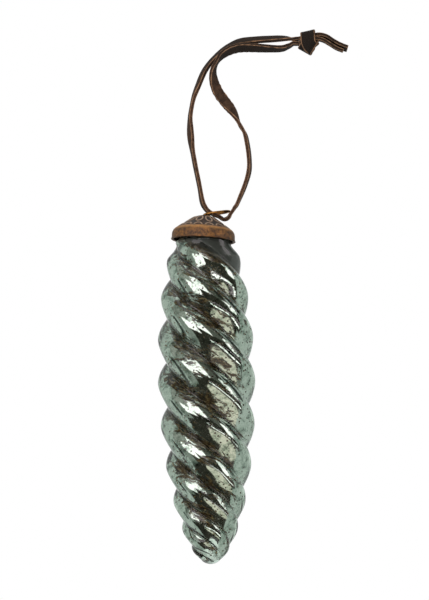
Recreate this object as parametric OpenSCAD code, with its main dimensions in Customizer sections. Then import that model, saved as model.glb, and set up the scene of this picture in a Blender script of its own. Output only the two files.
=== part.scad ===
// Icicle ornament: a mould-blown glass drop with twisted lobes, a pressed
// metal cap, a wire hanging loop and a flat leather lace tied in a knot.
// Millimetres, +Z up. The origin is on the glass's axis, level with the top of
// the cap, where the wire loop stands. A depth is measured down from there.

/* [Glass icicle] */
// Greatest diameter, over the ridges
glass_d = 43.8; // [38:0.2:50]
// Depth of the tip
tip_depth = 158; // [140:1:180]
// Depth of the widest place
wide_depth = 72; // [64:1:80]
// Height over the crown at which the upper half ellipse would close
closing_height = 6.6; // [0.6:0.2:12]
// Number of lobes round the glass
lobes = 4; // [3:1:6]
// Height between neighbouring ridges at the widest place
ridge_pitch = 20.3; // [16:0.1:28]
// Depth at which one ridge crosses the front
front_ridge = 78; // [60:0.5:96]
// Depth of the grooves at the widest place
groove = 5; // [2:0.1:7]
// Roundness of a lobe: 1 is a straight flank, 2 is a round one
lobe_roundness = 1.7; // [1.2:0.1:2.4]
// How far each ridge leans towards its upper groove
lobe_lean = 0.22; // [0:0.02:0.4]
// Wall of the glass
glass_wall = 1.8; // [1.2:0.1:2.6]
// Thickness of the glass at the tip
tip_wall = 3.2; // [2:0.1:6]
// Outside diameter of the neck
neck_d = 17; // [14:0.2:19]
// Length of the neck's straight part
neck_straight = 2.6; // [1.5:0.1:3.5]
// Depth at which the shoulder has run out into the body
shoulder_end = 20; // [17:0.5:26]

/* [Cap] */
// Outside diameter of the rim
cap_d = 28.4; // [26:0.2:31]
// Height from the rim to the crown
cap_h = 11.8; // [11:0.1:14]
// Thickness of the sheet
cap_sheet = 0.5; // [0.3:0.05:0.8]
// Diameter of the dome's foot, where the band begins
dome_foot_d = 23.4; // [22.4:0.1:24]
// Height of the dome over its foot
dome_rise = 5.9; // [5.4:0.1:6.2]
// Slant of the dome's straight side, in degrees from level
dome_slant = 34; // [32.5:0.5:36]
// Radius of the band's round shoulder
band_r = 3.6; // [3:0.1:4.2]
// Thickness of the bead round the rim
rim_bead = 0.9; // [0.7:0.05:1.3]
// Tilt of the cap on the neck, down to the right, in degrees
cap_tilt = 4.5; // [0:0.5:6]
// Gap between the crown and the neck's edge
seat_gap = 0.25; // [0.1:0.05:0.5]
// Gap between the rim and the glass
rim_gap = 0.6; // [0.3:0.05:1]

/* [Pressed pattern] */
// Number of rings pressed round the dome
ring_count = 10; // [6:1:12]
// Outside diameter of each pressed ring
ring_d = 3.6; // [2.4:0.1:4]
// Diameter of the row of rings, between the middles of opposite rings
ring_row_d = 14.6; // [14:0.2:16]
// Number of arches pressed along the dome's foot
arch_count = 14; // [10:1:16]
// Outside diameter of each pressed arch
arch_d = 4.2; // [3:0.1:4.6]
// Width of the raised lines
relief_d = 0.6; // [0.4:0.05:0.8]

/* [Wire loop] */
// Diameter of the wire
wire_d = 1.1; // [0.8:0.05:1.3]
// Width of the eye, between the middles of its two strands
eye_w = 8.2; // [7:0.1:9.6]
// Length of the eye's straight sides
eye_straight = 2.4; // [1:0.1:4]
// Angle at which each strand leaves the hole, from the eye's middle line
eye_spread = 60; // [50:1:70]
// Rise of the eye over the crown's level, in degrees
eye_rise = 11.5; // [10:0.5:20]
// Turn of the eye towards the back, in degrees
eye_turn = 18; // [0:1:30]
// Inside radius of the bends at the hole
bend_inside = 0.5; // [0.4:0.05:0.8]
// Gap between the two legs
leg_gap = 0.15; // [0.1:0.05:0.3]
// Reach of each leg under the crown, from the middle of the hole
leg_reach = 5; // [3:0.1:5.4]
// Gap round the legs in the hole, and over them under the crown
wire_gap = 0.2; // [0.1:0.05:0.4]

/* [Leather lace] */
// Width of the lace
lace_w = 4.8; // [4:0.1:5.2]
// Thickness of the lace
lace_t = 1.6; // [1.2:0.1:1.8]

/* [Knot] */
// Length of the knot along the lace
knot_length = 8.4; // [7:0.1:10]
// Height of the knot, without its hanging fold
knot_h = 8; // [7.4:0.1:9]
// Depth of the knot, front to back
knot_depth = 7.6; // [6.6:0.1:9]
// Drop of the fold that hangs from the knot
fold_drop = 7.4; // [6:0.1:8]

/* [Hidden] */
$fn = 64;
// Overlap of solids that are fused, so that no two faces coincide
bite = 0.05;

glass_r = glass_d / 2;
neck_r = neck_d / 2;
cap_r = cap_d / 2;
wire_r = wire_d / 2;

// The dome's crown is part of a ball, and its side runs straight from there to the foot.
dome_foot_r = dome_foot_d / 2;
crown_r = (dome_foot_r * tan(dome_slant) - dome_rise) / (1 / cos(dome_slant) - 1);
// The band's round shoulder starts at the dome's foot.
band_mid_r = cap_r - band_r;
band_mid_depth = dome_rise + sqrt(pow(band_r, 2) - pow(dome_foot_r - band_mid_r, 2));

// Height of the dome's straight side, moved in by a thickness, at a distance from the cap's own axis
function slant_height(r, inset) =
    (crown_r - inset) / cos(dome_slant) - crown_r - r * tan(dome_slant);
// Height of the dome's underside at a distance from the cap's own axis
function dome_under(r) =
    r < (crown_r - cap_sheet) * sin(dome_slant)
        ? sqrt(pow(crown_r - cap_sheet, 2) - pow(r, 2)) - crown_r
        : slant_height(r, cap_sheet);

// The neck ends just under the lowest place of the tilted crown.
neck_top_depth = cap_h - (dome_under(neck_r) + cap_h) * cos(cap_tilt)
    + neck_r * sin(cap_tilt) + seat_gap;
neck_end_depth = neck_top_depth + neck_straight;
// The tilted rim hangs lowest on one side, and the glass is clear of it there.
rim_low_depth = cap_h + cap_r * sin(cap_tilt);
shoulder_r = cap_r - cap_sheet - rim_gap;

// Outline of the glass over its ridges

// A smooth step from 0 to 1 as t goes from 0 to 1
function ease(t) = t <= 0 ? 0 : t >= 1 ? 1 : t * t * (3 - 2 * t);

// The body over its ridges is two half ellipses that meet at the widest place.
upper_reach = wide_depth + closing_height;
function reach(depth, tip) = depth < wide_depth ? upper_reach : tip - wide_depth;
function ellipse_r(depth, r, tip) =
    r * sqrt(max(0, 1 - pow((depth - wide_depth) / reach(depth, tip), 2)));

// Above the shoulder the body narrows under the cap's rim, and then to the neck.
function outline_r(depth, r, tip, thin) =
    neck_r - thin
    + (shoulder_r - neck_r) * ease((depth - neck_end_depth) / (rim_low_depth - neck_end_depth))
    + (ellipse_r(depth, r, tip) - shoulder_r + thin)
      * ease((depth - rim_low_depth) / (shoulder_end - rim_low_depth));

// The ridges climb at one angle all the way, so they crowd as the drop gets thin.
// Ridges passed at a depth, counted down one side from the widest place:
function ridges_at(depth) =
    reach(depth, tip_depth) * asin((depth - wide_depth) / reach(depth, tip_depth))
    * PI / 180 / ridge_pitch;

// How far the surface lies inside the ridges, as a share of the groove, where
// place is 0 at one lobe's middle and 1 at the next one's
function hollow(place) =
    let (across = 2 * (place - round(place)))
    pow(abs(across + lobe_lean * (1 - across * across)), lobe_roundness);

// The grooves get shallow as the drop gets thin, and run out on the neck.
function groove_at(depth, r, outline) =
    groove * pow(outline / r, 1.5)
    * ease((depth - neck_end_depth) / (shoulder_end - neck_end_depth));

// One point of the glass: the angle starts at the front and grows to the right.
function glass_point(depth, place, r, tip, thin) =
    let (
        outline = outline_r(depth, r, tip, thin),
        radius = outline - groove_at(depth, r, outline) * hollow(place),
        angle = (ridges_at(depth) - ridges_at(front_ridge) - place) * 360 / lobes
    )
    [radius * sin(angle), -radius * cos(angle), -depth];

// Rings of points from the neck's edge to the tip, closer together at the tip
lobe_columns = 12;
columns = lobe_columns * lobes;
outer_rings = 66;
inner_rings = 34;

function ring_depth(i, rings, tip) =
    let (
        first = asin((neck_top_depth - wide_depth) / upper_reach),
        a = first + (90 - first) * i / rings
    )
    wide_depth + (a < 0 ? upper_reach : tip - wide_depth) * sin(a);

function glass_skin(rings, r, tip, thin) = [
    for (i = [0 : rings - 1])
        for (j = [0 : columns - 1])
            glass_point(ring_depth(i, rings, tip), j / lobe_columns, r, tip, thin),
    [0, 0, -tip]
];

// Triangles of one skin, facing outwards from the axis
function skin_faces(rings) = [
    for (i = [0 : rings - 2])
        for (j = [0 : columns - 1])
            let (
                a = i * columns + j,
                b = i * columns + (j + 1) % columns,
                c = b + columns,
                d = a + columns
            )
            each [[a, d, c], [a, c, b]],
    for (j = [0 : columns - 1])
        [(rings - 1) * columns + j, rings * columns, (rings - 1) * columns + (j + 1) % columns]
];

module glass_body() {
    outer = glass_skin(outer_rings, glass_r, tip_depth, 0);
    inner = glass_skin(inner_rings, glass_r - glass_wall, tip_depth - tip_wall, glass_wall);
    first_inner = len(outer);
    neck_edge = [
        for (j = [0 : columns - 1])
            let (k = (j + 1) % columns)
            each [[j, k, first_inner + k], [j, first_inner + k, first_inner + j]]
    ];
    inner_faces = [for (f = skin_faces(inner_rings)) [for (k = [2, 1, 0]) f[k] + first_inner]];
    color([0.56, 0.65, 0.6])
        polyhedron(
            points = concat(outer, inner),
            faces = concat(skin_faces(outer_rings), inner_faces, neck_edge),
            convexity = 8
        );
}

// Puts its children on the neck as the cap sits there: tilted about the rim's middle
module on_neck() {
    translate([0, 0, -cap_h])
        rotate([0, cap_tilt, 0])
            translate([0, 0, cap_h])
                children();
}

// Half of the dome's outline, moved in by a thickness
module dome_outline(inset) {
    low = dome_rise + inset + bite;
    slant_start = (crown_r - inset) * sin(dome_slant);
    slant_end = dome_foot_r + inset + bite;
    intersection() {
        union() {
            translate([0, -crown_r])
                circle(r = crown_r - inset, $fn = 180);
            polygon([
                [0, slant_height(slant_start, inset)],
                [slant_start, slant_height(slant_start, inset)],
                [slant_end, slant_height(slant_end, inset)],
                [0, slant_height(slant_end, inset)]
            ]);
        }
        translate([0, -low])
            square([cap_r, low]);
    }
}

// Half of the cap's outline, moved in by a thickness
module cap_outline(inset) {
    dome_outline(inset);
    intersection() {
        translate([band_mid_r, -band_mid_depth])
            circle(r = band_r - inset, $fn = 120);
        translate([0, -cap_h])
            square([cap_d, cap_h]);
    }
    translate([0, -cap_h - inset])
        square([cap_r - inset, cap_h - band_mid_depth + inset]);
    translate([0, -cap_h])
        square([band_mid_r, cap_h - band_mid_depth + band_r - inset]);
}

// A raised line bent in a circle that lies on the dome's side, with its middle at a
// distance from the cap's own axis
module dome_circle(from_axis, turn, across, arc) {
    rotate([0, 0, turn])
        translate([from_axis, 0, slant_height(from_axis, 0)])
            rotate([0, dome_slant, 0])
                rotate([0, 0, 180 - arc / 2])
                    rotate_extrude(angle = arc)
                        translate([across / 2 - relief_d / 2, 0])
                            circle(d = relief_d, $fn = 24);
}

function unit(v) = v / norm(v);

// A solid through a row of rings, each with the same number of points, that run
// round the row's own direction
module skin(rings) {
    count = len(rings);
    sides = len(rings[0]);
    polyhedron(
        points = [for (r = rings) each r],
        faces = [
            [for (k = [sides - 1 : -1 : 0]) k],
            for (i = [0 : count - 2])
                for (k = [0 : sides - 1])
                    let (
                        a = i * sides + k,
                        b = i * sides + (k + 1) % sides
                    )
                    each [[a, b, b + sides], [a, b + sides, a + sides]],
            [for (k = [0 : sides - 1]) (count - 1) * sides + k]
        ],
        convexity = 8
    );
}

leg_side = wire_r + leg_gap / 2;
bend_mid = bend_inside + wire_r;
bend_start_depth = wire_r;
// The legs have begun to bend outwards where they pass the crown's edge.
lean_at_crown = asin(bend_start_depth / bend_mid);
hole_r = leg_side + bend_mid * (1 - cos(lean_at_crown)) + wire_r / cos(lean_at_crown) + wire_gap;

module cap() {
    color([0.52, 0.36, 0.2])
        on_neck()
            difference() {
                union() {
                    rotate_extrude($fn = 180)
                        difference() {
                            cap_outline(0);
                            cap_outline(cap_sheet);
                        }
                    translate([0, 0, rim_bead / 2 - cap_h])
                        rotate_extrude($fn = 180)
                            translate([cap_r - rim_bead / 2, 0])
                                circle(d = rim_bead, $fn = 32);
                    for (i = [0 : ring_count - 1])
                        dome_circle(ring_row_d / 2, i * 360 / ring_count, ring_d, 360);
                    for (i = [0 : arch_count - 1])
                        dome_circle(dome_foot_r, i * 360 / arch_count, arch_d, 180);
                }
                cylinder(r = hole_r, h = dome_rise, center = true);
            }
}

// The wire is swept along its own line. Each strand comes up out of the hole,
// bends over to its own direction in the eye's sloping plane, bows out to the
// eye's width and closes round the far end. The leg's end is bent out under the crown.
strand_rise = asin(cos(eye_spread) * sin(eye_rise));
strand_side = atan2(sin(eye_spread), cos(eye_spread) * cos(eye_rise));
strand_out = bend_mid * (1 - sin(strand_rise));
strand_y = leg_side + strand_out * sin(strand_side);
bow_r = (eye_w / 2 - strand_y) / (1 - cos(eye_spread));
bow_end = bow_r * sin(eye_spread);
leg_depth = wire_r + wire_gap - dome_under(leg_reach);
bend_steps = 6;

// Points of an arc that turns from one angle to another, as a function of a
// share of the way
function shares(steps) = [for (k = [0 : steps]) k / steps];

// A place in the eye's sloping plane
function in_eye(x, y) = [
    strand_out * cos(strand_side) + x * cos(eye_rise),
    y,
    bend_mid * cos(strand_rise) - bend_start_depth + x * sin(eye_rise)
];

// Half of the wire, on the -Y side, from the leg's end to the eye's far end
wire_half = concat(
    [[0, -leg_reach, -leg_depth]],
    [for (k = shares(bend_steps))
        [0, -leg_side - bend_mid * (1 - sin(90 * k)), bend_mid * (1 - cos(90 * k)) - leg_depth]],
    [for (k = shares(bend_steps))
        let (a = (90 - strand_rise) * k, out = bend_mid * (1 - cos(a)))
        [
            out * cos(strand_side),
            -leg_side - out * sin(strand_side),
            bend_mid * sin(a) - bend_start_depth
        ]],
    [for (k = shares(bend_steps))
        if (k > 0)
            let (heading = -eye_spread * (1 - k))
            in_eye(bow_end + bow_r * sin(heading), bow_r - eye_w / 2 - bow_r * cos(heading))],
    [for (k = shares(bend_steps))
        in_eye(
            bow_end + eye_straight + eye_w / 2 * sin(90 * k),
            -eye_w / 2 * cos(90 * k)
        )]
);
wire_path = concat(
    wire_half,
    [for (i = [len(wire_half) - 2 : -1 : 0])
        [wire_half[i][0], -wire_half[i][1], wire_half[i][2]]]
);

function along(path, i) =
    unit(path[min(i + 1, len(path) - 1)] - path[max(i - 1, 0)]);

// A direction square to the path at each point, carried on from the one before
function carried_side(path) = [
    for (
        i = 0, side = unit(cross(along(path, 0), [1, 0, 0]));
        i < len(path);
        i = i + 1, side = i < len(path)
            ? unit(side - along(path, i) * (side * along(path, i)))
            : side
    )
        side
];

module wire(path) {
    sides = 10;
    side = carried_side(path);
    skin([
        for (i = [0 : len(path) - 1])
            let (up = cross(along(path, i), side[i]))
            [for (k = [0 : sides - 1])
                path[i] + wire_r * (side[i] * cos(360 * k / sides) + up * sin(360 * k / sides))]
    ]);
}

module wire_loop() {
    color([0.66, 0.47, 0.26])
        on_neck()
            rotate([0, 0, eye_turn])
                wire(wire_path);
}

// The lace's route: X, Y, Z, and how far its flat side is turned from the
// front, in degrees. It runs from the knot down the left strand, through the
// wire's eye and under its end, and back up the right strand.
knot_x = 45.5;
upper_z = 79.5;
lower_z = 77.4;
route = [
    [knot_x, 0, upper_z, 90],
    [44, 0, upper_z, 88],
    [42.5, 0, upper_z, 82],
    [37, 0.5, 80, 60],
    [21, 1.5, 79.4, 52],
    [14, 2, 77.2, 60],
    [8, 2, 72.8, 68],
    [3, 2, 67, 68],
    [-0.6, 2, 59.5, 68],
    [-3, 2, 53, 80],
    [-4.5, 2, 45, 80],
    [-4.5, 2, 37, 64],
    [-3.7, 2, 29, 80],
    [-1, 2, 13, 82],
    [0, 1.9, 6.5, 78],
    [1.2, 1.7, 3.7, 82],
    [2.8, 1.5, 1.8, 88],
    [5, 1.8, 0.5, 90],
    [7.2, 2.4, -0.4, 92],
    [9.4, 2.5, -1.7, 94],
    [11.4, 0.8, -1.3, 98],
    [12.9, -1, 0.4, 98],
    [14.4, -2.4, 2.4, 92],
    [16.6, -3, 6, 88],
    [21.5, -3, 19.5, 80],
    [20.6, -3, 34, 80],
    [17.7, -3, 40.5, 88],
    [15, -3, 46, 50],
    [11.5, -3, 51, 8],
    [8.7, -3, 55, 10],
    [6.8, -2.6, 60, 38],
    [6.4, -2.2, 65, 66],
    [8, -1.8, 69.5, 84],
    [11, -1.4, 73, 64],
    [16, -1.2, 75.4, 54],
    [22, -1, 76, 52],
    [36, -0.2, 75.2, 74],
    [40.5, 0, 76.2, 84],
    [42.8, 0, lower_z, 88],
    [44.2, 0, lower_z, 90],
    [knot_x, 0, lower_z, 90]
];

// One place on a smooth curve through four neighbouring route points
function curve(a, b, c, d, t) =
    0.5 * (2 * b + (c - a) * t + (2 * a - 5 * b + 4 * c - d) * t * t
    + (3 * b - a - 3 * c + d) * t * t * t);
function curve_at(path, i, t) =
    let (last = len(path) - 1)
    curve(path[max(i - 1, 0)], path[i], path[min(i + 1, last)], path[min(i + 2, last)], t);
function smooth_path(path, steps) = [
    for (i = [0 : len(path) - 2])
        for (k = [0 : steps - 1])
            curve_at(path, i, k / steps),
    path[len(path) - 1]
];

function xyz(p) = [p[0], p[1], p[2]];

// Half of the lace's section, mirrored to the other half: its corners are worn.
edge_wear = 0.4;
lace_section = [
    for (side = [1, -1])
        each [
            [-side * (lace_w / 2 - edge_wear), side * lace_t / 2],
            [side * (lace_w / 2 - edge_wear), side * lace_t / 2],
            [side * lace_w / 2, side * (lace_t / 2 - edge_wear)],
            [side * lace_w / 2, -side * (lace_t / 2 - edge_wear)]
        ]
];

// A ring of the lace: its flat side faces the front at 0 degrees.
function lace_ring(path, i) =
    let (
        here = path[i],
        before = xyz(path[max(i - 1, 0)]),
        after = xyz(path[min(i + 1, len(path) - 1)]),
        ahead = unit(after - before),
        level = unit(cross([0, 1, 0], ahead)),
        away = cross(ahead, level),
        across = level * cos(here[3]) + away * sin(here[3]),
        out = cross(ahead, across)
    )
    [for (p = lace_section) xyz(here) + across * p[0] + out * p[1]];

module lace(path) {
    skin([for (i = [0 : len(path) - 1]) lace_ring(path, i)]);
}

module leather_thong() {
    color([0.23, 0.17, 0.13])
        lace(smooth_path(route, 2));
}

// The two tails leave the knot one on the other. Their routes are like the lace's.
upper_tail = [
    [52, 0, 81, 90],
    [55.4, 0, 81, 84],
    [58.2, 0.2, 80, 76],
    [61, 0.4, 78, 72],
    [64, 0.5, 76.2, 70],
    [67.4, 0.5, 75, 70]
];
lower_tail = [
    [52, 0, 78.8, 90],
    [54.6, 0, 78.8, 92],
    [57, -0.2, 78, 98],
    [59.8, -0.4, 76, 102],
    [62.6, -0.5, 74.2, 104],
    [65, -0.5, 73, 104]
];

// The knot's core is flat where the strands go in and where the tails come out,
// and round between them. The tails' end is the lower and the narrower one.
knot_mid_z = (upper_z + lower_z) / 2;
knot_low_z = knot_mid_z - knot_h / 2;
knot_high_z = knot_mid_z + knot_h / 2;
mouth_w = lace_w + 0.6;
mouth_h = knot_h - 2;
tails_h = knot_h - 3;
tails_rise = 2.4;
core_d = knot_depth - 1;
core_rise = 0.4;
core_start = 0.35 * knot_length;
core_length = 0.3 * knot_length;

// The band that wraps the core: its upper edge, its wider lower edge and its fold
wrap_top_w = lace_w + 1.2;
wrap_low_w = lace_w + 2.6;
wrap_top_start = 1.2;
wrap_low_start = 0.4;
wrap_top_h = 1.2;
wrap_low_h = 1.4;
wrap_top_rise = 0.2;
wrap_low_rise = 1.6;
fold_r = 0.6;
fold_w = knot_depth / 2;
fold_middle = knot_length / 2 + 0.4;

module leather_knot() {
    color([0.19, 0.14, 0.11]) {
        hull() {
            translate([knot_x, -mouth_w / 2, knot_mid_z - mouth_h / 2])
                cube([bite, mouth_w, mouth_h]);
            translate([knot_x + core_start, 0, knot_mid_z + core_rise])
                rotate([0, 90, 0])
                    cylinder(d = core_d, h = core_length, $fn = 32);
            translate([knot_x + knot_length - bite, -lace_w / 2, knot_low_z + tails_rise])
                cube([bite, lace_w, tails_h]);
        }
        hull() {
            translate([knot_x + wrap_top_start, -knot_depth / 2, knot_high_z + wrap_top_rise - wrap_top_h])
                cube([wrap_top_w, knot_depth, wrap_top_h]);
            translate([knot_x + wrap_low_start, -knot_depth / 2, knot_low_z + wrap_low_rise])
                cube([wrap_low_w, knot_depth, wrap_low_h]);
            translate([knot_x + fold_middle, 0, knot_mid_z - fold_drop + fold_r])
                rotate([90, 0, 0])
                    cylinder(r = fold_r, h = fold_w, center = true, $fn = 16);
        }
        lace(smooth_path(upper_tail, 2));
        lace(smooth_path(lower_tail, 2));
    }
}

glass_body();
cap();
wire_loop();
leather_thong();
leather_knot();
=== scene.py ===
"""Gives a hanging glass icicle its looks: silvered twisted glass, a stamped cap, a wire loop and a
leather lace.

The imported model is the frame. Everything is in metres, with +Z up along the glass's axis and -Y to the front.
A depth is measured down from the top of the cap, where the frame's origin is.
"""
import math

import bpy
import numpy as np
from bpy.props import FloatProperty, FloatVectorProperty, IntProperty
from mathutils import Matrix, Vector


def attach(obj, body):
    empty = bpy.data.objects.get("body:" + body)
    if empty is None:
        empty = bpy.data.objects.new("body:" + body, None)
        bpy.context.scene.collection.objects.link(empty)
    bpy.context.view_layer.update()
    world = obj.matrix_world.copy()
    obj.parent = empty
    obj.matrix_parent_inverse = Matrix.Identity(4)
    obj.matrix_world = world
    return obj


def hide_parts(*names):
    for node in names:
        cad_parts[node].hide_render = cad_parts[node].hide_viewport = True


bl_info = {
    "name": "Glass icicle ornament",
    "version": (1, 0, 0),
    "blender": (4, 5, 0),
    "location": "3D View > Sidebar > Icicle",
    "description": "Builds a silvered glass icicle with its cap, wire loop, leather lace and a plain studio",
    "category": "Add Mesh",
}

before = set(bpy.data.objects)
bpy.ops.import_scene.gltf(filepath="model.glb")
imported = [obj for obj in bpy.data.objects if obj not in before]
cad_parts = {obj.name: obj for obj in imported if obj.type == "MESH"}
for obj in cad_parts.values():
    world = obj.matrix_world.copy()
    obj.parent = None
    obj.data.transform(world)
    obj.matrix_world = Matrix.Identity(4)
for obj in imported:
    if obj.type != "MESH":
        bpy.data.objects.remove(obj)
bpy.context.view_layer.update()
MM = 0.001


# Colours and nodes

def linear(code):
    """An sRGB hex colour as linear RGBA: each channel c becomes ((c + 0.055) / 1.055) to the power 2.4, or
    c / 12.92 where it is very dark."""
    channels = [int(code[i : i + 2], 16) / 255 for i in (1, 3, 5)]
    return (*(c / 12.92 if c <= 0.04045 else ((c + 0.055) / 1.055) ** 2.4 for c in channels), 1.0)


def add_node(tree, kind, links=None, stops=(), limits=(), **settings):
    """Adds a shader node, whose kind is its type's name after ShaderNode. links gives each input, by
    name or number, a value, another node's output, or a node whose first output is meant. stops gives a
    colour ramp its places, and its colours as codes or as settings. limits gives a map range its From Min,
    From Max, To Min and To Max."""
    node = tree.nodes.new("ShaderNode" + kind)
    for name, value in settings.items():
        setattr(node, name, value)
    for name, value in (links or {}).items():
        if isinstance(value, bpy.types.Node):
            value = value.outputs[0]
        if isinstance(value, bpy.types.NodeSocket):
            tree.links.new(value, node.inputs[name])
        else:
            node.inputs[name].default_value = value
    for name, value in zip(("From Min", "From Max", "To Min", "To Max"), limits):
        node.inputs[name].default_value = value
    for i, (place, colour) in enumerate(stops):
        element = node.color_ramp.elements[i] if i < 2 else node.color_ramp.elements.new(place)
        element.position = place
        element.color = linear(colour) if isinstance(colour, str) else colour
    return node


def new_material(name):
    """An empty material and its node tree."""
    material = bpy.data.materials.new(name)
    material.use_nodes = True
    material.node_tree.nodes.clear()
    return material, material.node_tree


# Surfaces

def ease(t):
    """A smooth step: t squared times (3 - 2t), with t held between 0 and 1."""
    t = np.clip(t, 0.0, 1.0)
    return t * t * (3 - 2 * t)


def grid_faces(rows, columns, first=0):
    """Four-sided faces of a grid whose columns close into a ring, counted from point number first."""
    i, j = np.meshgrid(np.arange(rows - 1), np.arange(columns), indexing="ij")
    a = first + i * columns + j
    b = first + i * columns + (j + 1) % columns
    return np.stack([a, b, b + columns, a + columns], axis=-1).reshape(-1, 4)


def fan_faces(ring, pole):
    """Triangles from a ring of point numbers to one point, the pole."""
    return np.stack([ring, np.roll(ring, -1), np.full(len(ring), pole)], axis=-1)


def add_object(name, data):
    """Links a new object to the scene."""
    added = bpy.data.objects.new(name, data)
    bpy.context.scene.collection.objects.link(added)
    return added


def new_piece(name, points, faces, materials, node, marks=None, slots=None):
    """Puts points and faces into a smooth mesh object that rides on the one body. node is the CAD node that
    it stands for. marks gives a number or a vector for each point, which a material reads by its name.
    slots gives each face's material number."""
    mesh = bpy.data.meshes.new(name)
    mesh.from_pydata(points.reshape(-1, 3).tolist(), [], [list(map(int, f)) for f in faces])
    mesh.polygons.foreach_set("use_smooth", np.ones(len(mesh.polygons), dtype=bool))
    for material in materials:
        mesh.materials.append(material)
    if slots is not None:
        mesh.polygons.foreach_set("material_index", slots.astype(np.int32))
    mesh.update()
    for mark, values in (marks or {}).items():
        kind, field = ("FLOAT_VECTOR", "vector") if values.ndim == 2 else ("FLOAT", "value")
        attribute = mesh.attributes.new(mark, kind, "POINT")
        attribute.data.foreach_set(field, values.astype(np.float32).ravel())
    piece = add_object(name, mesh)
    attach(piece, "root")
    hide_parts(node)
    return piece


def ripple(across, along, height, turns, waves, seed, count=14):
    """Gentle unevenness: a sum of sines of whole numbers of turns across and of waves along, each with
    a random share of the height and a random start."""
    rng = np.random.default_rng(seed)
    total = np.zeros(np.broadcast(across, along).shape)
    for _ in range(count):
        turn_count = rng.integers(-turns, turns + 1)
        wave_count = rng.uniform(0.2, 1.0) * waves
        share = rng.uniform(0.4, 1.0)
        start = rng.uniform(0, 2 * np.pi)
        total += share * np.sin(turn_count * across + 2 * np.pi * wave_count * along + start)
    return height * total / math.sqrt(count)


# Settings

def length_setting(name, description, millimetres):
    """A length, with its default in millimetres."""
    return FloatProperty(name=name, description=description, default=millimetres * MM, unit="LENGTH")


def angle_setting(name, description, degrees):
    """An angle, with its default in degrees."""
    return FloatProperty(name=name, description=description, default=math.radians(degrees), unit="ROTATION")


def colour_setting(name, description, code):
    """A colour, with its default as an sRGB hex code."""
    return FloatVectorProperty(
        name=name, description=description, default=linear(code), size=4, min=0, max=1, subtype="COLOR")


class GlassSettings(bpy.types.PropertyGroup):
    """Sizes and colours of the blown glass."""

    width: length_setting("Width", "Greatest diameter over the ridges", 43.8)
    tip_depth: length_setting("Tip", "Depth of the tip", 158)
    wide_depth: length_setting("Widest place", "Depth of the widest place", 72)
    upper_reach: length_setting("Upper reach", "Height of the half ellipse above it", 78.6)
    lobes: IntProperty(name="Lobes", description="Number of twisted lobes", default=4)
    pitch: length_setting("Pitch", "Height between ridges at the widest place", 20.3)
    front_ridge: length_setting("Front ridge", "Depth at which a ridge crosses the front", 78)
    groove: length_setting("Groove", "Depth of the grooves at the widest place", 5)
    roundness: FloatProperty(
        name="Roundness", description="1 is a straight flank and 2 a round one", default=1.7)
    lean: FloatProperty(
        name="Lean", description="How far a ridge leans towards its upper groove", default=0.22)
    softness: FloatProperty(
        name="Groove softness", description="Rounding of the groove's bottom, as a share of a flank",
        default=0.06)
    wall: length_setting("Wall", "Thickness of the glass", 1.8)
    tip_wall: length_setting("Tip wall", "Thickness of the glass at the tip", 3.2)
    neck: length_setting("Neck", "Diameter of the neck", 17)
    neck_top: length_setting("Neck's edge", "Depth of the neck's edge", 5.28)
    neck_end: length_setting("Neck's end", "Depth where the neck's straight part ends", 7.88)
    rim_depth: length_setting("Rim depth", "Depth of the cap's lowest place", 12.91)
    shoulder: length_setting("Shoulder", "Diameter under the cap's rim", 26.2)
    shoulder_end: length_setting("Shoulder's end", "Depth where the shoulder meets the body", 20)
    tint: colour_setting("Tint", "Colour of the glass where it is seen face on", "#c9dbd0")
    silver: colour_setting("Silver", "Colour of the film where it is brightest", "#f4f5f0")
    # The neck's grey is painted: it stands in for the dim hollow seen through the bare glass by the neck.
    painted_neck_grey: colour_setting("Neck's grey", "Colour behind the bare glass by the neck", "#706f6c")


class CapSettings(bpy.types.PropertyGroup):
    """Sizes and colours of the stamped cap."""

    width: length_setting("Width", "Diameter of the rim", 28.4)
    height: length_setting("Height", "From the rim to the crown", 11.8)
    sheet: length_setting("Sheet", "Thickness of the brass", 0.5)
    dome_foot: length_setting("Dome's foot", "Diameter where the band begins", 23.4)
    dome_rise: length_setting("Dome's rise", "Height of the dome over its foot", 5.9)
    dome_slant: angle_setting("Dome's slant", "Slant of the dome's straight side", 34)
    band: length_setting("Band", "Radius of the band's round shoulder", 3.6)
    bead: length_setting("Bead", "Thickness of the rim", 0.9)
    hole: length_setting("Hole", "Diameter of the hole", 3.25)
    tilt: angle_setting("Tilt", "Tilt on the neck, down to the right", 4.5)
    petals: IntProperty(name="Petals", description="Number of pressed petals", default=10)
    petal: length_setting("Petal", "Width of a pressed petal", 3.5)
    petal_length: length_setting("Petal's length", "Length of a pressed petal, down the slant", 5.6)
    petal_row: length_setting(
        "Row of petals", "Diameter of the row, between the middles of opposite petals", 13.4)
    arches: IntProperty(name="Arches", description="Number of pressed arches", default=14)
    arch: length_setting("Arch", "Diameter of a pressed arch", 4.2)
    line: length_setting("Line", "Width of the raised lines", 0.75)
    relief: length_setting("Relief", "Height of the raised lines", 0.26)
    patina: colour_setting("Patina", "Colour of the dome between its raised lines", "#33271f")
    rubbed_line: colour_setting("Rubbed line", "Colour of the raised lines", "#9d8570")
    # The band's upper edge gets a painted highlight of this colour.
    painted_edge_highlight: colour_setting("Rubbed edge", "Colour of the band's upper edge", "#bd8a50")


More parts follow.
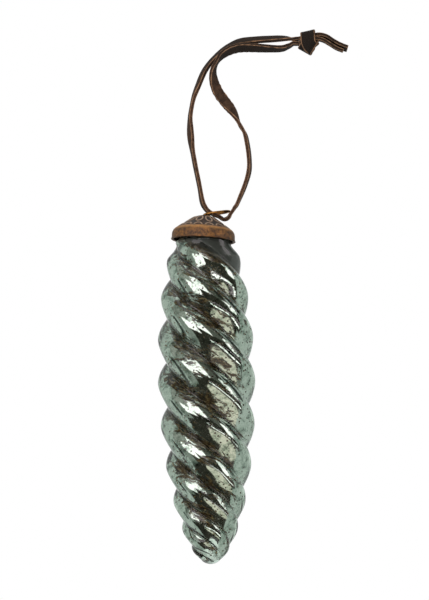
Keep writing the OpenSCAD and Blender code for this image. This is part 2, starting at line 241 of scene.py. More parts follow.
class WireSettings(bpy.types.PropertyGroup):
    """Sizes and colour of the wire loop."""

    thickness: length_setting("Wire", "Diameter of the wire", 1.1)
    width: length_setting("Eye", "Width between the middles of the strands", 8.2)
    straight: length_setting("Straight", "Length of the eye's straight sides", 2.4)
    spread: angle_setting("Spread", "Angle at which the strands part", 60)
    rise: angle_setting("Rise", "Slope of the eye", 11.5)
    turn: angle_setting("Turn", "Turn of the eye to the back", 18)
    bend: length_setting("Bend", "Middle radius of the bends", 1.05)
    leg_side: length_setting("Leg", "From the middle of the hole to a leg's middle", 0.625)
    leg_reach: length_setting("Leg reach", "Reach of a leg under the crown", 5)
    leg_depth: length_setting("Leg depth", "Depth of a leg's end", 2.735)
    brass: colour_setting("Brass", "Colour of the wire, between its tarnish and its rubbed places", "#a0733a")


class LaceSettings(bpy.types.PropertyGroup):
    """Sizes and colours of the leather lace."""

    width: length_setting("Width", "Width of the lace", 4.8)
    thickness: length_setting("Thickness", "Thickness of the lace", 1.6)
    wear: length_setting("Worn edge", "Rounding of the lace's corners", 0.4)
    fray: length_setting("Fray", "Unevenness of the cut edges", 0.12)
    dye: colour_setting("Dye", "Colour of the grain side where the dye is lightest", "#241a12")
    hide: colour_setting("Hide", "Colour of the undyed hide at the rubbed corners", "#8c6a4e")


class StudioSettings(bpy.types.PropertyGroup):
    """The camera and the plain studio."""

    distance: FloatProperty(
        name="Distance", description="From the camera to the object", default=3, unit="LENGTH")
    field: FloatProperty(
        name="Field", description="Height that the picture takes in", default=0.27, unit="LENGTH")
    elevation: angle_setting("Elevation", "Height of the camera over the horizon", -8)
    lean: angle_setting("Lean", "Lean of the object in the picture", 1.4)
    aim: FloatVectorProperty(
        name="Aim", description="Place at the picture's centre", default=(4.45 * MM, 0, -38.76 * MM),
        unit="LENGTH")
    floor: FloatProperty(name="Floor", description="Height of the floor", default=-0.78, unit="LENGTH")
    paint: FloatVectorProperty(
        name="Paint", description="Colour of the floor", default=(0.85, 0.85, 0.85, 1), size=4, min=0, max=1,
        subtype="COLOR")


# Blown glass

def glass_points(sizes, rings, columns, width, tip, thin, thickness_change):
    """Rings of points of one skin of the glass, from the neck's edge to the tip, and where each point would
    be if the twist were taken out and the lobes ran straight down.

    The outline over the ridges is two half ellipses that meet at the widest place, and it eases into the
    shoulder and the neck. The lobes cut into it by a power of the distance from their ridge, and turn so
    that they climb at one angle all the way: the angle follows the arcsine of the depth.
    """
    wide = sizes.wide_depth
    first = math.asin((sizes.neck_top - wide) / sizes.upper_reach)
    sweep = first + (math.pi / 2 - first) * np.linspace(0, 1, rings, endpoint=False)[:, None]
    depth = wide + np.where(sweep < 0, sizes.upper_reach, tip - wide) * np.sin(sweep)
    place = np.linspace(0, sizes.lobes, columns, endpoint=False)[None, :]

    reach = np.where(depth < wide, sizes.upper_reach, tip - wide)
    ellipse = width / 2 * np.sqrt(np.maximum(0, 1 - ((depth - wide) / reach) ** 2))
    neck = sizes.neck / 2
    shoulder = sizes.shoulder / 2
    outline = (neck - thin
               + (shoulder - neck) * ease((depth - sizes.neck_end) / (sizes.rim_depth - sizes.neck_end))
               + (ellipse - shoulder + thin)
               * ease((depth - sizes.rim_depth) / (sizes.shoulder_end - sizes.rim_depth)))

    full_reach = np.where(depth < wide, sizes.upper_reach, sizes.tip_depth - wide)
    ridges = full_reach * np.arcsin(np.clip((depth - wide) / full_reach, -1, 1)) / sizes.pitch
    lower_reach = sizes.tip_depth - wide
    front = lower_reach * math.asin((sizes.front_ridge - wide) / lower_reach) / sizes.pitch

    across = 2 * (place - np.round(place))
    hollow = np.abs(across + sizes.lean * (1 - across ** 2)) ** sizes.roundness
    soft = sizes.softness
    hollow = 1 - (np.sqrt((1 - hollow) ** 2 + soft ** 2) - soft) / (math.sqrt(1 + soft ** 2) - soft)
    # The grooves get shallower by a power of the outline's width, and fade out at the neck.
    cut = (sizes.groove * (outline / (width / 2)) ** 1.5
           * ease((depth - sizes.neck_end) / (sizes.shoulder_end - sizes.neck_end)))
    angle = (ridges - front - place) * 2 * np.pi / sizes.lobes
    # The unevenness fades out at the cap's rim and at the tip.
    fade_in, fade_out = 10 * MM, 8 * MM
    fade = ease((depth - sizes.rim_depth) / fade_in) * ease((tip - depth) / fade_out)
    radius = outline - cut * hollow + fade * thickness_change(angle, depth)
    level = np.broadcast_to(-depth, radius.shape)
    points = np.stack([radius * np.sin(angle), -radius * np.cos(angle), level], -1)
    straight = 2 * np.pi * place / sizes.lobes
    return points, np.stack([radius * np.cos(straight), radius * np.sin(straight), level], -1)


def build_glass(sizes):
    """One closed mesh: the outer skin, the inner skin turned the other way, and the neck's edge between
    them. Returns its points, its faces, each face's material number, and the marks at each point: its
    place with the twist taken out, and how near it is to a groove, from -1 on a ridge to 1."""
    columns_a_lobe = 72
    columns = sizes.lobes * columns_a_lobe
    outer_rings, inner_rings = 220, 120
    inner_width, inner_tip = sizes.width - 2 * sizes.wall, sizes.tip_depth - sizes.tip_wall
    outer, outer_straight = glass_points(
        sizes, outer_rings, columns, sizes.width, sizes.tip_depth, 0,
        lambda angle, depth: ripple(angle, depth, height=0.03 * MM, turns=3, waves=60, seed=5))
    inner, inner_straight = glass_points(
        sizes, inner_rings, columns, inner_width, inner_tip, sizes.wall,
        lambda angle, depth: ripple(angle, depth, height=0.16 * MM, turns=5, waves=90, seed=11))
    first_inner = outer_rings * columns
    outer_pole = first_inner + inner_rings * columns
    inner_pole = outer_pole + 1
    poles = [[0, 0, -sizes.tip_depth], [0, 0, sizes.tip_wall - sizes.tip_depth]]
    points = np.concatenate([outer.reshape(-1, 3), inner.reshape(-1, 3), poles])
    straight = np.concatenate([outer_straight.reshape(-1, 3), inner_straight.reshape(-1, 3), poles])

    last_outer = (outer_rings - 1) * columns + np.arange(columns)
    last_inner = first_inner + (inner_rings - 1) * columns + np.arange(columns)
    top = np.arange(columns)
    edge = np.stack([np.roll(top, -1), top, first_inner + top, first_inner + np.roll(top, -1)], -1)
    outer_faces = list(grid_faces(outer_rings, columns)) + list(fan_faces(last_outer, outer_pole))
    inner_faces = [f[::-1] for f in grid_faces(inner_rings, columns, first_inner)]
    inner_faces += [f[::-1] for f in fan_faces(last_inner, inner_pole)]
    faces = outer_faces + list(edge) + inner_faces
    slots = np.concatenate([np.zeros(len(outer_faces) + len(edge)), np.ones(len(inner_faces))])
    in_groove = -np.cos(sizes.lobes * np.arctan2(straight[:, 1], straight[:, 0]))
    return points, faces, slots, {"untwisted": straight, "in_groove": in_groove}


def blown_glass_material(name, settings):
    """Soda-lime glass, blown in a mould: clear and pale green, with a fire-polished skin that a slow
    unevenness ripples, so straight reflections waver."""
    material, tree = new_material(name)
    place = add_node(tree, "TexCoord").outputs["Object"]
    # The mould's chill leaves hollows about 7 mm across and a few hundredths of a millimetre deep.
    waves = add_node(tree, "TexNoise", {"Vector": place, "Scale": 1 / (7 * MM), "Detail": 2.0})
    bump = add_node(tree, "Bump", {"Height": waves, "Strength": 0.25, "Distance": 0.15 * MM})
    # The wall takes more light where it is seen edgewise.
    edgewise = add_node(tree, "LayerWeight", {"Blend": 0.5, "Normal": bump})
    tint = add_node(tree, "ValToRGB", {"Fac": edgewise.outputs["Facing"]}, stops=[
        (0.6, settings.tint), (0.88, "#86a597"), (1.0, "#22382f")])
    shader = add_node(tree, "BsdfPrincipled", {
        "Base Color": tint, "Roughness": 0.01, "IOR": 1.5, "Transmission Weight": 1.0,
        "Normal": bump})
    add_node(tree, "OutputMaterial", {"Surface": shader})
    return material


def lifted_film(tree, place, drawn):
    """Where the silver film has lifted, from 0 to 1, in torn patches and in specks, and a value that rises
    from 0 towards the neck."""
    # Patches about 6 mm across have finely torn edges.
    patches = add_node(tree, "TexNoise", {
        "Vector": drawn, "Scale": 1 / (6 * MM), "Detail": 9.0, "Roughness": 0.78, "Distortion": 0.6})
    # The film ends below the neck, and lower down on the right.
    height = add_node(tree, "VectorMath", {0: place, 1: (0.6, 0, 1)}, operation="DOT_PRODUCT")
    near_neck = add_node(tree, "MapRange", {"Value": height.outputs["Value"]},
                         limits=(-22 * MM, -14 * MM, 0.0, 0.3))
    worn = add_node(tree, "Math", {0: patches, 1: near_neck}, operation="ADD")
    # The film has lifted the most along each groove. More lifted film is painted on the front, where its darker
    # patches stand in for the reflection of the dark room.
    groove = add_node(tree, "Attribute", attribute_name="in_groove").outputs["Fac"]
    worn = add_node(tree, "Math", {0: groove, 1: 0.072, 2: worn}, operation="MULTIPLY_ADD")
    depth = add_node(tree, "SeparateXYZ", {"Vector": place}).outputs["Y"]
    painted_front_dark = add_node(tree, "MapRange", {"Value": depth}, limits=(-19 * MM, -4 * MM, 0.055, -0.012))
    worn = add_node(tree, "Math", {0: worn, 1: painted_front_dark}, operation="ADD")
    lost = add_node(tree, "MapRange", {"Value": worn}, limits=(0.562, 0.582))
    # Specks are up to 1 mm across, and about 2 mm apart where they crowd.
    dots = add_node(tree, "TexVoronoi", {"Vector": place, "Scale": 1 / (1.7 * MM)})
    speck = add_node(tree, "MapRange", {"Value": dots}, limits=(0.22, 0.3, 1.0, 0.0))
    crowd = add_node(tree, "TexNoise", {"Vector": place, "Scale": 1 / (5 * MM), "Detail": 3.0})
    crowded = add_node(tree, "MapRange", {"Value": crowd}, limits=(0.43, 0.49))
    specks = add_node(tree, "Math", {0: speck, 1: crowded}, operation="MULTIPLY")
    bare = add_node(tree, "Math", {0: lost, 1: specks}, operation="MAXIMUM")
    return bare, near_neck


def silvering_material(name, settings):
    """A silver film laid on the inside of the glass by a chemical bath, aged on purpose: it is bright where
    it holds, dull where it is thin, and brown and black where it has lifted, in specks and in torn patches.
    It stops short of the neck."""
    material, tree = new_material(name)
    place = add_node(tree, "TexCoord").outputs["Object"]
    untwisted = add_node(tree, "Attribute", attribute_name="untwisted").outputs["Vector"]
    # In untwisted coordinates a patch turns with the lobes.
    drawn = add_node(tree, "Mapping", {"Vector": untwisted, "Scale": (1, 1, 1.2)}).outputs["Vector"]
    bare, near_neck = lifted_film(tree, place, drawn)
    # The tarnish runs from black through brown to a little gold.
    tone = add_node(tree, "TexNoise", {
        "Vector": drawn, "Scale": 1 / (1.5 * MM), "Detail": 7.0, "Roughness": 0.8})
    tarnish = add_node(tree, "ValToRGB", {"Fac": tone}, stops=[
        (0.38, "#0d0c09"), (0.45, "#2c2417"), (0.51, "#644726"), (0.57, "#8f7548"), (0.66, "#e6d8ac")])
    # By the neck the inside is painted a smooth grey, with no tarnish: it stands in for the dim hollow seen
    # through the bare glass.
    by_neck = add_node(tree, "MapRange", {"Value": near_neck}, limits=(0.1, 0.22))
    lifted = add_node(tree, "Mix", {0: by_neck, 6: tarnish, 7: settings.painted_neck_grey}, data_type="RGBA")
    # The film's own thickness clouds it, from a dull green grey to bright silver.
    cloud = add_node(tree, "TexNoise", {
        "Vector": place, "Scale": 1 / (4 * MM), "Detail": 9.0, "Roughness": 0.72, "Distortion": 0.3})
    silver = add_node(tree, "ValToRGB", {"Fac": cloud}, stops=[
        (0.34, "#39443d"), (0.43, "#bcc5bc"), (0.54, settings.silver)])
    colour = add_node(tree, "Mix", {0: bare, 6: silver, 7: lifted.outputs[2]}, data_type="RGBA")
    roughness = add_node(tree, "MapRange", {"Value": bare}, limits=(0, 1, 0.04, 0.3))
    metal = add_node(tree, "MapRange", {"Value": bare}, limits=(0, 1, 1.0, 0.0))
    grain = add_node(tree, "TexNoise", {
        "Vector": place, "Scale": 1 / (1.2 * MM), "Detail": 4.0, "Roughness": 0.6})
    bump = add_node(tree, "Bump", {"Height": grain, "Strength": 0.2, "Distance": 0.05 * MM})
    shader = add_node(tree, "BsdfPrincipled", {
        "Base Color": colour.outputs[2], "Roughness": roughness,
        "Metallic": metal, "Normal": bump})
    add_node(tree, "OutputMaterial", {"Surface": shader})
    return material


class ICICLE_OT_glass(bpy.types.Operator):
    """Builds the twisted glass with the silver film on its inside"""

    bl_idname = "icicle.glass"
    bl_label = "Blown glass"

    def execute(self, context):
        settings = context.scene.icicle_glass
        points, faces, slots, marks = build_glass(settings)
        materials = [blown_glass_material("Blown green glass", settings),
                     silvering_material("Aged silvering", settings)]
        new_piece("silvered_icicle", points, faces, materials, "glass_body", marks, slots)
        return {"FINISHED"}


# Stamped cap

def cap_matrix(sizes):
    """The cap's place: tilted about the middle of its rim."""
    rim = Vector((0, 0, -sizes.height))
    return Matrix.Translation(rim) @ Matrix.Rotation(sizes.tilt, 4, "Y") @ Matrix.Translation(-rim)


def place_points(points, matrix):
    """Points moved by a 4 by 4 matrix."""
    m = np.array(matrix)
    return points @ m[:3, :3].T + m[:3, 3]


def cap_profile(sizes):
    """Radius, depth and slant of the cap's outside, and how many of its points are the dome's: the crown is
    part of a ball, the dome's side runs straight down to its foot, the band is a quarter round, and the
    skirt goes straight down to the rim."""
    foot = sizes.dome_foot / 2
    ball = (foot * math.tan(sizes.dome_slant) - sizes.dome_rise) / (1 / math.cos(sizes.dome_slant) - 1)
    band_r = sizes.width / 2 - sizes.band
    band_lean = math.asin((foot - band_r) / sizes.band)
    band_depth = sizes.dome_rise + sizes.band * math.cos(band_lean)
    crown_steps, side_steps, shoulder_steps, skirt_steps = 31, 60, 25, 7
    crown = np.linspace(math.asin(sizes.hole / 2 / ball), sizes.dome_slant, crown_steps + 1)
    side = np.linspace(ball * math.sin(sizes.dome_slant), foot, side_steps + 1)[1:]
    shoulder = np.linspace(band_lean, math.pi / 2, shoulder_steps + 1)[1:]
    skirt = np.linspace(band_depth, sizes.height - sizes.bead / 2, skirt_steps + 1)[1:]
    radius = np.concatenate([
        ball * np.sin(crown), side, band_r + sizes.band * np.sin(shoulder),
        np.full(len(skirt), sizes.width / 2)])
    depth = np.concatenate([
        ball * (1 - np.cos(crown)), sizes.dome_rise - (foot - side) * math.tan(sizes.dome_slant),
        band_depth - sizes.band * np.cos(shoulder), skirt])
    slant = np.concatenate([
        crown, np.full(len(side), sizes.dome_slant), shoulder, np.full(len(skirt), math.pi / 2)])
    return radius, depth, slant, len(crown) + len(side)


def stamped_relief(sizes, radius, turn):
    """Height of the stamp's raised lines on the dome, from 0 to 1: a round bar along the outline of each
    petal, and along each half ring that stands on the dome's foot. Both are ovals in (across, down the
    slant), and the distance to an oval's outline is its value less 1 over its slope."""
    stamps = [(sizes.petal_row / 2, i * 2 * math.pi / sizes.petals, sizes.petal, sizes.petal_length)
              for i in range(sizes.petals)]
    stamps += [(sizes.dome_foot / 2, i * 2 * math.pi / sizes.arches, sizes.arch, sizes.arch)
               for i in range(sizes.arches)]
    tiny = 1e-9
    height = np.zeros((radius + turn).shape)
    for reach, stamp_turn, wide, long in stamps:
        across = radius * np.sin(turn - stamp_turn)
        down = (radius * np.cos(turn - stamp_turn) - reach) / math.cos(sizes.dome_slant)
        half_w, half_l = (wide - sizes.line) / 2, (long - sizes.line) / 2
        value = np.hypot(across / half_w, down / half_l) + tiny
        slope = np.hypot(across / half_w ** 2, down / half_l ** 2) / value + tiny
        off_line = np.abs(value - 1) / slope / (sizes.line / 2)
        height = np.maximum(height, np.sqrt(np.maximum(0, 1 - off_line ** 2)))
    return height


def closed_profile(sizes, radius, depth, slant):
    """The cap's whole profile, from its outside: on round the rim's bead and back up the inside. Returns its
    radius, its depth, and how many of its points come before the inside."""
    bead, bead_swell = sizes.bead / 2, 0.25 * MM
    inner_radius, inner_depth = radius - sizes.sheet * np.sin(slant), depth + sizes.sheet * np.cos(slant)
    round_rim = np.linspace(0, math.pi, 9)[1:-1]
    rim_radius = sizes.width / 2 - bead + (bead + bead_swell) * np.cos(round_rim)
    rim_depth = sizes.height - bead + bead * np.sin(round_rim)
    # The plain inside keeps every sixth point, from the rim up.
    whole_radius = np.concatenate([radius, rim_radius, inner_radius[::-6]])
    whole_depth = np.concatenate([depth, rim_depth, inner_depth[::-6]])
    return whole_radius, whole_depth, len(radius) + len(rim_radius)


def rim_spread(sizes, turn, depth):
    """How far the rim stands out: it flares a little, and has one bent-out burr on its right side."""
    burr_turn, burr_width, burr_reach = -0.35, 0.09, 0.7 * MM
    flare_height, flare = 1.6 * MM, 0.18 * MM
    off_burr = np.angle(np.exp(1j * (turn - burr_turn)))
    burr = np.exp(-((off_burr / burr_width) ** 2)) * burr_reach
    near_rim = ease((depth - sizes.height + flare_height) / flare_height)
    return (flare + burr) * near_rim


def build_cap(sizes):
    """The profile turned about the axis. Returns its points, its faces, and the marks at each point: how
    high the relief is, whether it is on the dome, and how near it is to the band's upper edge, by a bell
    curve of the depth."""
    columns = 360
    radius, depth, slant, dome_count = cap_profile(sizes)
    whole_radius, whole_depth, rim_end = closed_profile(sizes, radius, depth, slant)
    outside, rows = len(radius), len(whole_radius)

    turn = np.linspace(0, 2 * math.pi, columns, endpoint=False)[None, :]
    raised = np.zeros((rows, columns))
    raised[:dome_count] = stamped_relief(sizes, radius[:dome_count, None], turn)
    # The dents fade in over the first twelfth of the outside, next to the hole.
    fade = ease(np.linspace(0, 1, outside) * 12)[:, None]
    dents = ripple(turn, whole_depth[:, None], height=0.1 * MM, turns=7, waves=120, seed=3)
    push = np.zeros_like(raised)
    push[:outside] = raised[:outside] * sizes.relief + fade * dents[:outside]
    push[outside:rim_end] = dents[outside:rim_end]

    radial = np.concatenate([np.sin(slant), np.ones(rows - outside)])[:, None]
    upward = np.concatenate([np.cos(slant), np.zeros(rows - outside)])[:, None]
    r = whole_radius[:, None] + push * radial + rim_spread(sizes, turn, whole_depth[:, None])
    z = -whole_depth[:, None] + push * upward
    points = np.stack([r * np.cos(turn), r * np.sin(turn), np.broadcast_to(z, r.shape)], -1)
    faces = list(grid_faces(rows, columns)[:, ::-1])
    top = np.arange(columns)
    last = (rows - 1) * columns + top
    faces += list(np.stack([top, np.roll(top, -1), np.roll(last, -1), last], -1))

    on_dome = (np.arange(rows) < dome_count).astype(float)
    # A highlight is painted along the band's upper edge: how near a point is to it, by a bell curve of the
    # depth.
    edge_depth, edge_width = 0.9 * MM, 0.7 * MM
    below_dome = whole_depth - depth[dome_count]
    edge_highlight = np.exp(-(((below_dome - edge_depth) / edge_width) ** 2)) * (np.arange(rows) < outside)
    marks = {"raised": raised.ravel(), "on_dome": np.repeat(on_dome, columns),
             "edge_highlight": np.repeat(edge_highlight, columns)}
    return place_points(points.reshape(-1, 3), cap_matrix(sizes)), faces, marks


def aged_brass_material(name, settings):
    """Pressed brass sheet, dulled by a brown patina: the smooth band is rubbed back to brown gold with
    orange stains, and the dome is darker, with its raised lines rubbed paler, and a highlight is painted
    along the band's upper edge."""
    material, tree = new_material(name)
    place = add_node(tree, "TexCoord").outputs["Object"]
    dome = add_node(tree, "Attribute", attribute_name="on_dome").outputs["Fac"]
    raised = add_node(tree, "Attribute", attribute_name="raised").outputs["Fac"]
    stains = add_node(tree, "TexNoise", {
        "Vector": place, "Scale": 1 / (2.2 * MM), "Detail": 8.0, "Roughness": 0.88, "Distortion": 0.3})
    band = add_node(tree, "ValToRGB", {"Fac": stains}, stops=[
        (0.34, "#1a120d"), (0.44, "#402e21"), (0.52, "#684a2e"), (0.6, "#8c6034"), (0.68, "#c09560")])
    crust = add_node(tree, "TexNoise", {
        "Vector": place, "Scale": 1 / (1.4 * MM), "Detail": 6.0, "Roughness": 0.7})
    dark = add_node(tree, "ValToRGB", {"Fac": crust}, stops=[
        (0.3, "#15100d"), (0.5, settings.patina), (0.7, "#5a4536")])
    pale = add_node(tree, "Mix", {0: raised, 6: dark, 7: settings.rubbed_line}, data_type="RGBA")
    # A highlight is painted along the band's upper edge, brightest where the stains let it.
    edge = add_node(tree, "Attribute", attribute_name="edge_highlight").outputs["Fac"]
    rubbed = add_node(tree, "Math", {0: edge, 1: stains}, operation="MULTIPLY")
    bright = add_node(tree, "Mix", {0: rubbed, 6: band, 7: settings.painted_edge_highlight}, data_type="RGBA")
    colour = add_node(tree, "Mix", {0: dome, 6: bright.outputs[2], 7: pale.outputs[2]}, data_type="RGBA")
    roughness = add_node(tree, "MapRange", {"Value": stains}, limits=(0.3, 0.7, 0.65, 0.42))
    metal = add_node(tree, "MapRange", {"Value": stains}, limits=(0.35, 0.6, 0.3, 0.75))
    pits = add_node(tree, "TexNoise", {
        "Vector": place, "Scale": 1 / (0.6 * MM), "Detail": 4.0, "Roughness": 0.6})
    bump = add_node(tree, "Bump", {"Height": pits, "Strength": 0.5, "Distance": 0.05 * MM})
    shader = add_node(tree, "BsdfPrincipled", {
        "Base Color": colour.outputs[2], "Roughness": roughness,
        "Metallic": metal, "Normal": bump})
    add_node(tree, "OutputMaterial", {"Surface": shader})
    return material


class ICICLE_OT_cap(bpy.types.Operator):
    """Builds the stamped brass cap"""

    bl_idname = "icicle.cap"
    bl_label = "Stamped cap"

    def execute(self, context):
        settings = context.scene.icicle_cap
        points, faces, marks = build_cap(settings)
        brass = aged_brass_material("Aged pressed brass", settings)
        new_piece("stamped_cap", points, faces, [brass], "cap", marks)
        return {"FINISHED"}


# Wire loop

def wire_line(sizes):
    """The wire's middle line: each leg is bent out under the crown, comes up through the hole, bends over
    into the eye's sloping plane, bows out to the eye's width and closes round its far end."""
    rise = math.asin(math.cos(sizes.spread) * math.sin(sizes.rise))
    side = math.atan2(math.sin(sizes.spread), math.cos(sizes.spread) * math.cos(sizes.rise))
    out_length = sizes.bend * (1 - math.sin(rise))
    strand_y = sizes.leg_side + out_length * math.sin(side)
    bow = (sizes.width / 2 - strand_y) / (1 - math.cos(sizes.spread))
    bow_end = bow * math.sin(sizes.spread)
    start_depth = sizes.thickness / 2
    steps = 15
    t = np.linspace(0, 1, steps)

    leg = np.stack([0 * t, -sizes.leg_side - sizes.bend * (1 - np.sin(math.pi / 2 * t)),
                    sizes.bend * (1 - np.cos(math.pi / 2 * t)) - sizes.leg_depth], -1)
    lean = (math.pi / 2 - rise) * t
    out = sizes.bend * (1 - np.cos(lean))
    bend = np.stack([out * math.cos(side), -sizes.leg_side - out * math.sin(side),
                     sizes.bend * np.sin(lean) - start_depth], -1)

    heading = -sizes.spread * (1 - t[1:])
    bow_x = bow_end + bow * np.sin(heading)
    bow_y = bow - sizes.width / 2 - bow * np.cos(heading)
    end_x = bow_end + sizes.straight + sizes.width / 2 * np.sin(math.pi / 2 * t)
    end_y = -sizes.width / 2 * np.cos(math.pi / 2 * t)
    x, y = np.concatenate([bow_x, end_x]), np.concatenate([bow_y, end_y])
    eye = np.stack([out_length * math.cos(side) + x * math.cos(sizes.rise), y,
                    sizes.bend * math.cos(rise) - start_depth + x * math.sin(sizes.rise)], -1)
    half = np.concatenate([[[0, -sizes.leg_reach, -sizes.leg_depth]], leg, bend, eye])
    return np.concatenate([half, half[-2::-1] * [1, -1, 1]])


def directions(path):
    """The unit direction along a path at each of its points, from the point before to the point after."""
    ahead = np.gradient(path, axis=0)
    return ahead / np.linalg.norm(ahead, axis=1, keepdims=True)


def carried_sides(path, first):
    """A direction square to the path at each point, carried on from the one before."""
    ahead = directions(path)
    sides = []
    side = np.cross(ahead[0], first)
    for direction in ahead:
        side = side - direction * (side @ direction)
        side = side / np.linalg.norm(side)
        sides.append(side)
    return np.array(sides)


def tube_faces(rings, sides):
    """Faces of a tube of rings, closed at both ends."""
    end = np.arange(sides)
    return list(grid_faces(rings, sides)) + [end[::-1], (rings - 1) * sides + end]


def wire_material(name, settings):
    """Drawn brass wire, lightly tarnished: brown gold, brighter where it is rubbed."""
    material, tree = new_material(name)
    place = add_node(tree, "TexCoord").outputs["Object"]
    tarnish = add_node(tree, "TexNoise", {
        "Vector": place, "Scale": 1 / (1.8 * MM), "Detail": 5.0, "Roughness": 0.65})
    colour = add_node(tree, "ValToRGB", {"Fac": tarnish}, stops=[
        (0.3, "#5a3d1e"), (0.5, settings.brass), (0.7, "#cc9650")])
    roughness = add_node(tree, "MapRange", {"Value": tarnish}, limits=(0.3, 0.7, 0.5, 0.26))
    shader = add_node(tree, "BsdfPrincipled", {
        "Base Color": colour, "Roughness": roughness, "Metallic": 1.0})
    add_node(tree, "OutputMaterial", {"Surface": shader})
    return material


class ICICLE_OT_wire(bpy.types.Operator):
    """Bends the brass wire loop"""

    bl_idname = "icicle.wire"
    bl_label = "Wire loop"

    def execute(self, context):
        sizes = context.scene.icicle_wire
        line = wire_line(sizes)
        side = carried_sides(line, [1, 0, 0])
        up = np.cross(directions(line), side)
        sides = 16
        around = np.linspace(0, 2 * math.pi, sides, endpoint=False)[None, :, None]
        away = side[:, None] * np.cos(around) + up[:, None] * np.sin(around)
        rings = line[:, None] + sizes.thickness / 2 * away
        matrix = cap_matrix(context.scene.icicle_cap) @ Matrix.Rotation(sizes.turn, 4, "Z")
        points = place_points(rings.reshape(-1, 3), matrix)
        brass = wire_material("Drawn brass wire", sizes)
        new_piece("bent_wire", points, tube_faces(len(line), sides), [brass], "wire_loop")
        return {"FINISHED"}


# Leather lace

KNOT_X = 45.5
UPPER_Z = 79.5
LOWER_Z = 77.4
# The lace's route in millimetres: X, Y, Z, and how far its flat side is turned from the front, in degrees
ROUTE = [
    (KNOT_X, 0, UPPER_Z, 90), (44, 0, UPPER_Z, 88), (42.5, 0, UPPER_Z, 82), (37, 0.5, 80, 60),
    (21, 1.5, 79.4, 52), (14, 2, 77.2, 60), (8, 2, 72.8, 68), (3, 2, 67, 68), (-0.6, 2, 59.5, 68),
    (-3, 2, 53, 80), (-4.5, 2, 45, 80), (-4.5, 2, 37, 64), (-3.7, 2, 29, 80), (-1, 2, 13, 82),
    (0, 1.9, 6.5, 78), (1.2, 1.7, 3.7, 82), (2.8, 1.5, 1.8, 88), (5, 1.8, 0.5, 90), (7.2, 2.4, -0.4, 92),
    (9.4, 2.5, -1.7, 94), (11.4, 0.8, -1.3, 98), (12.9, -1, 0.4, 98), (14.4, -2.4, 2.4, 92),
    (16.6, -3, 6, 88), (21.5, -3, 19.5, 80), (20.6, -3, 34, 80), (17.7, -3, 40.5, 88), (15, -3, 46, 50),
    (11.5, -3, 51, 8), (8.7, -3, 55, 10), (6.8, -2.6, 60, 38), (6.4, -2.2, 65, 66), (8, -1.8, 69.5, 84),
    (11, -1.4, 73, 64), (16, -1.2, 75.4, 54), (22, -1, 76, 52), (36, -0.2, 75.2, 74), (40.5, 0, 76.2, 84),
    (42.8, 0, LOWER_Z, 88), (44.2, 0, LOWER_Z, 90), (KNOT_X, 0, LOWER_Z, 90),
]
UPPER_TAIL = [(52, 0, 80.9, 90), (55.4, 0, 80.9, 84), (58.2, 0.2, 79.8, 78), (61, 0.4, 77.8, 76),
              (64, 0.5, 76, 74), (67.4, 0.5, 74.6, 74)]
LOWER_TAIL = [(52, 0, 79.2, 90), (54.6, 0, 79.2, 90), (57, -0.1, 78.4, 92), (59.8, -0.2, 76.5, 94),
              (62.6, -0.3, 74.7, 94), (65.4, -0.3, 73.5, 94)]
# The knot's bands in millimetres: X, Y, Z of the middle, and X, Y, Z of the direction across the band
FRONT_WRAP = [
    (50.4, 3.4, 77.6, 0.96, 0.1, 0.1), (49.9, 3.3, 80.6, 0.97, 0, 0.16), (49.7, 1.2, 82, 0.98, 0, 0.2),
    (49.6, -1.6, 82.1, 0.98, 0, 0.2), (49.5, -3.3, 81, 0.98, 0, 0.16), (49.5, -3.9, 78.9, 1, 0, 0.06),
    (49.7, -3.7, 77, 0.95, 0, 0.28), (50.5, -2.9, 75.7, 0.84, 0.1, 0.54), (51.4, -1.2, 75.2, 0.76, 0.2, 0.62),
    (51.9, 1, 75.8, 0.74, 0.1, 0.64),
]
UNDER_WRAP = [
    (51.8, -0.6, 80, 0.86, 0, -0.46), (50.8, -2, 78.2, 0.86, 0, -0.46), (49.4, -2.4, 76, 0.86, 0, -0.5),
    (48.4, -1.6, 74.6, 0.86, 0, -0.52), (48.2, -0.1, 74.1, 0.86, 0, -0.52), (48.5, 1.5, 74.7, 0.86, 0, -0.52),
    (49.6, 2.6, 76.4, 0.86, 0, -0.48), (50.5, 3, 78.7, 0.9, 0, -0.3),
]


def smooth_path(route, steps):
    """A smooth curve through the route's points: between two of them it is the cubic whose slope at each
    one is half the step from the point before it to the point after it."""
    p = np.array(route, dtype=float)
    padded = np.concatenate([p[:1], p, p[-1:]])
    a, b, c, d = (padded[i : i + len(p) - 1, None, :] for i in range(4))
    t = np.linspace(0, 1, steps, endpoint=False)[None, :, None]
    square, cube = 2 * a - 5 * b + 4 * c - d, 3 * b - a - 3 * c + d
    curve = 0.5 * (2 * b + (c - a) * t + square * t ** 2 + cube * t ** 3)
    return np.concatenate([curve.reshape(-1, p.shape[1]), p[-1:]])


def turned_across(path, turn):
    """The direction across the lace at each point: turned from level by the angle, about the path."""
    ahead = directions(path)
    level = np.cross([0, 1, 0], ahead)
    level /= np.linalg.norm(level, axis=1, keepdims=True)
    away = np.cross(ahead, level)
    angle = np.radians(turn)[:, None]
    return level * np.cos(angle) + away * np.sin(angle)


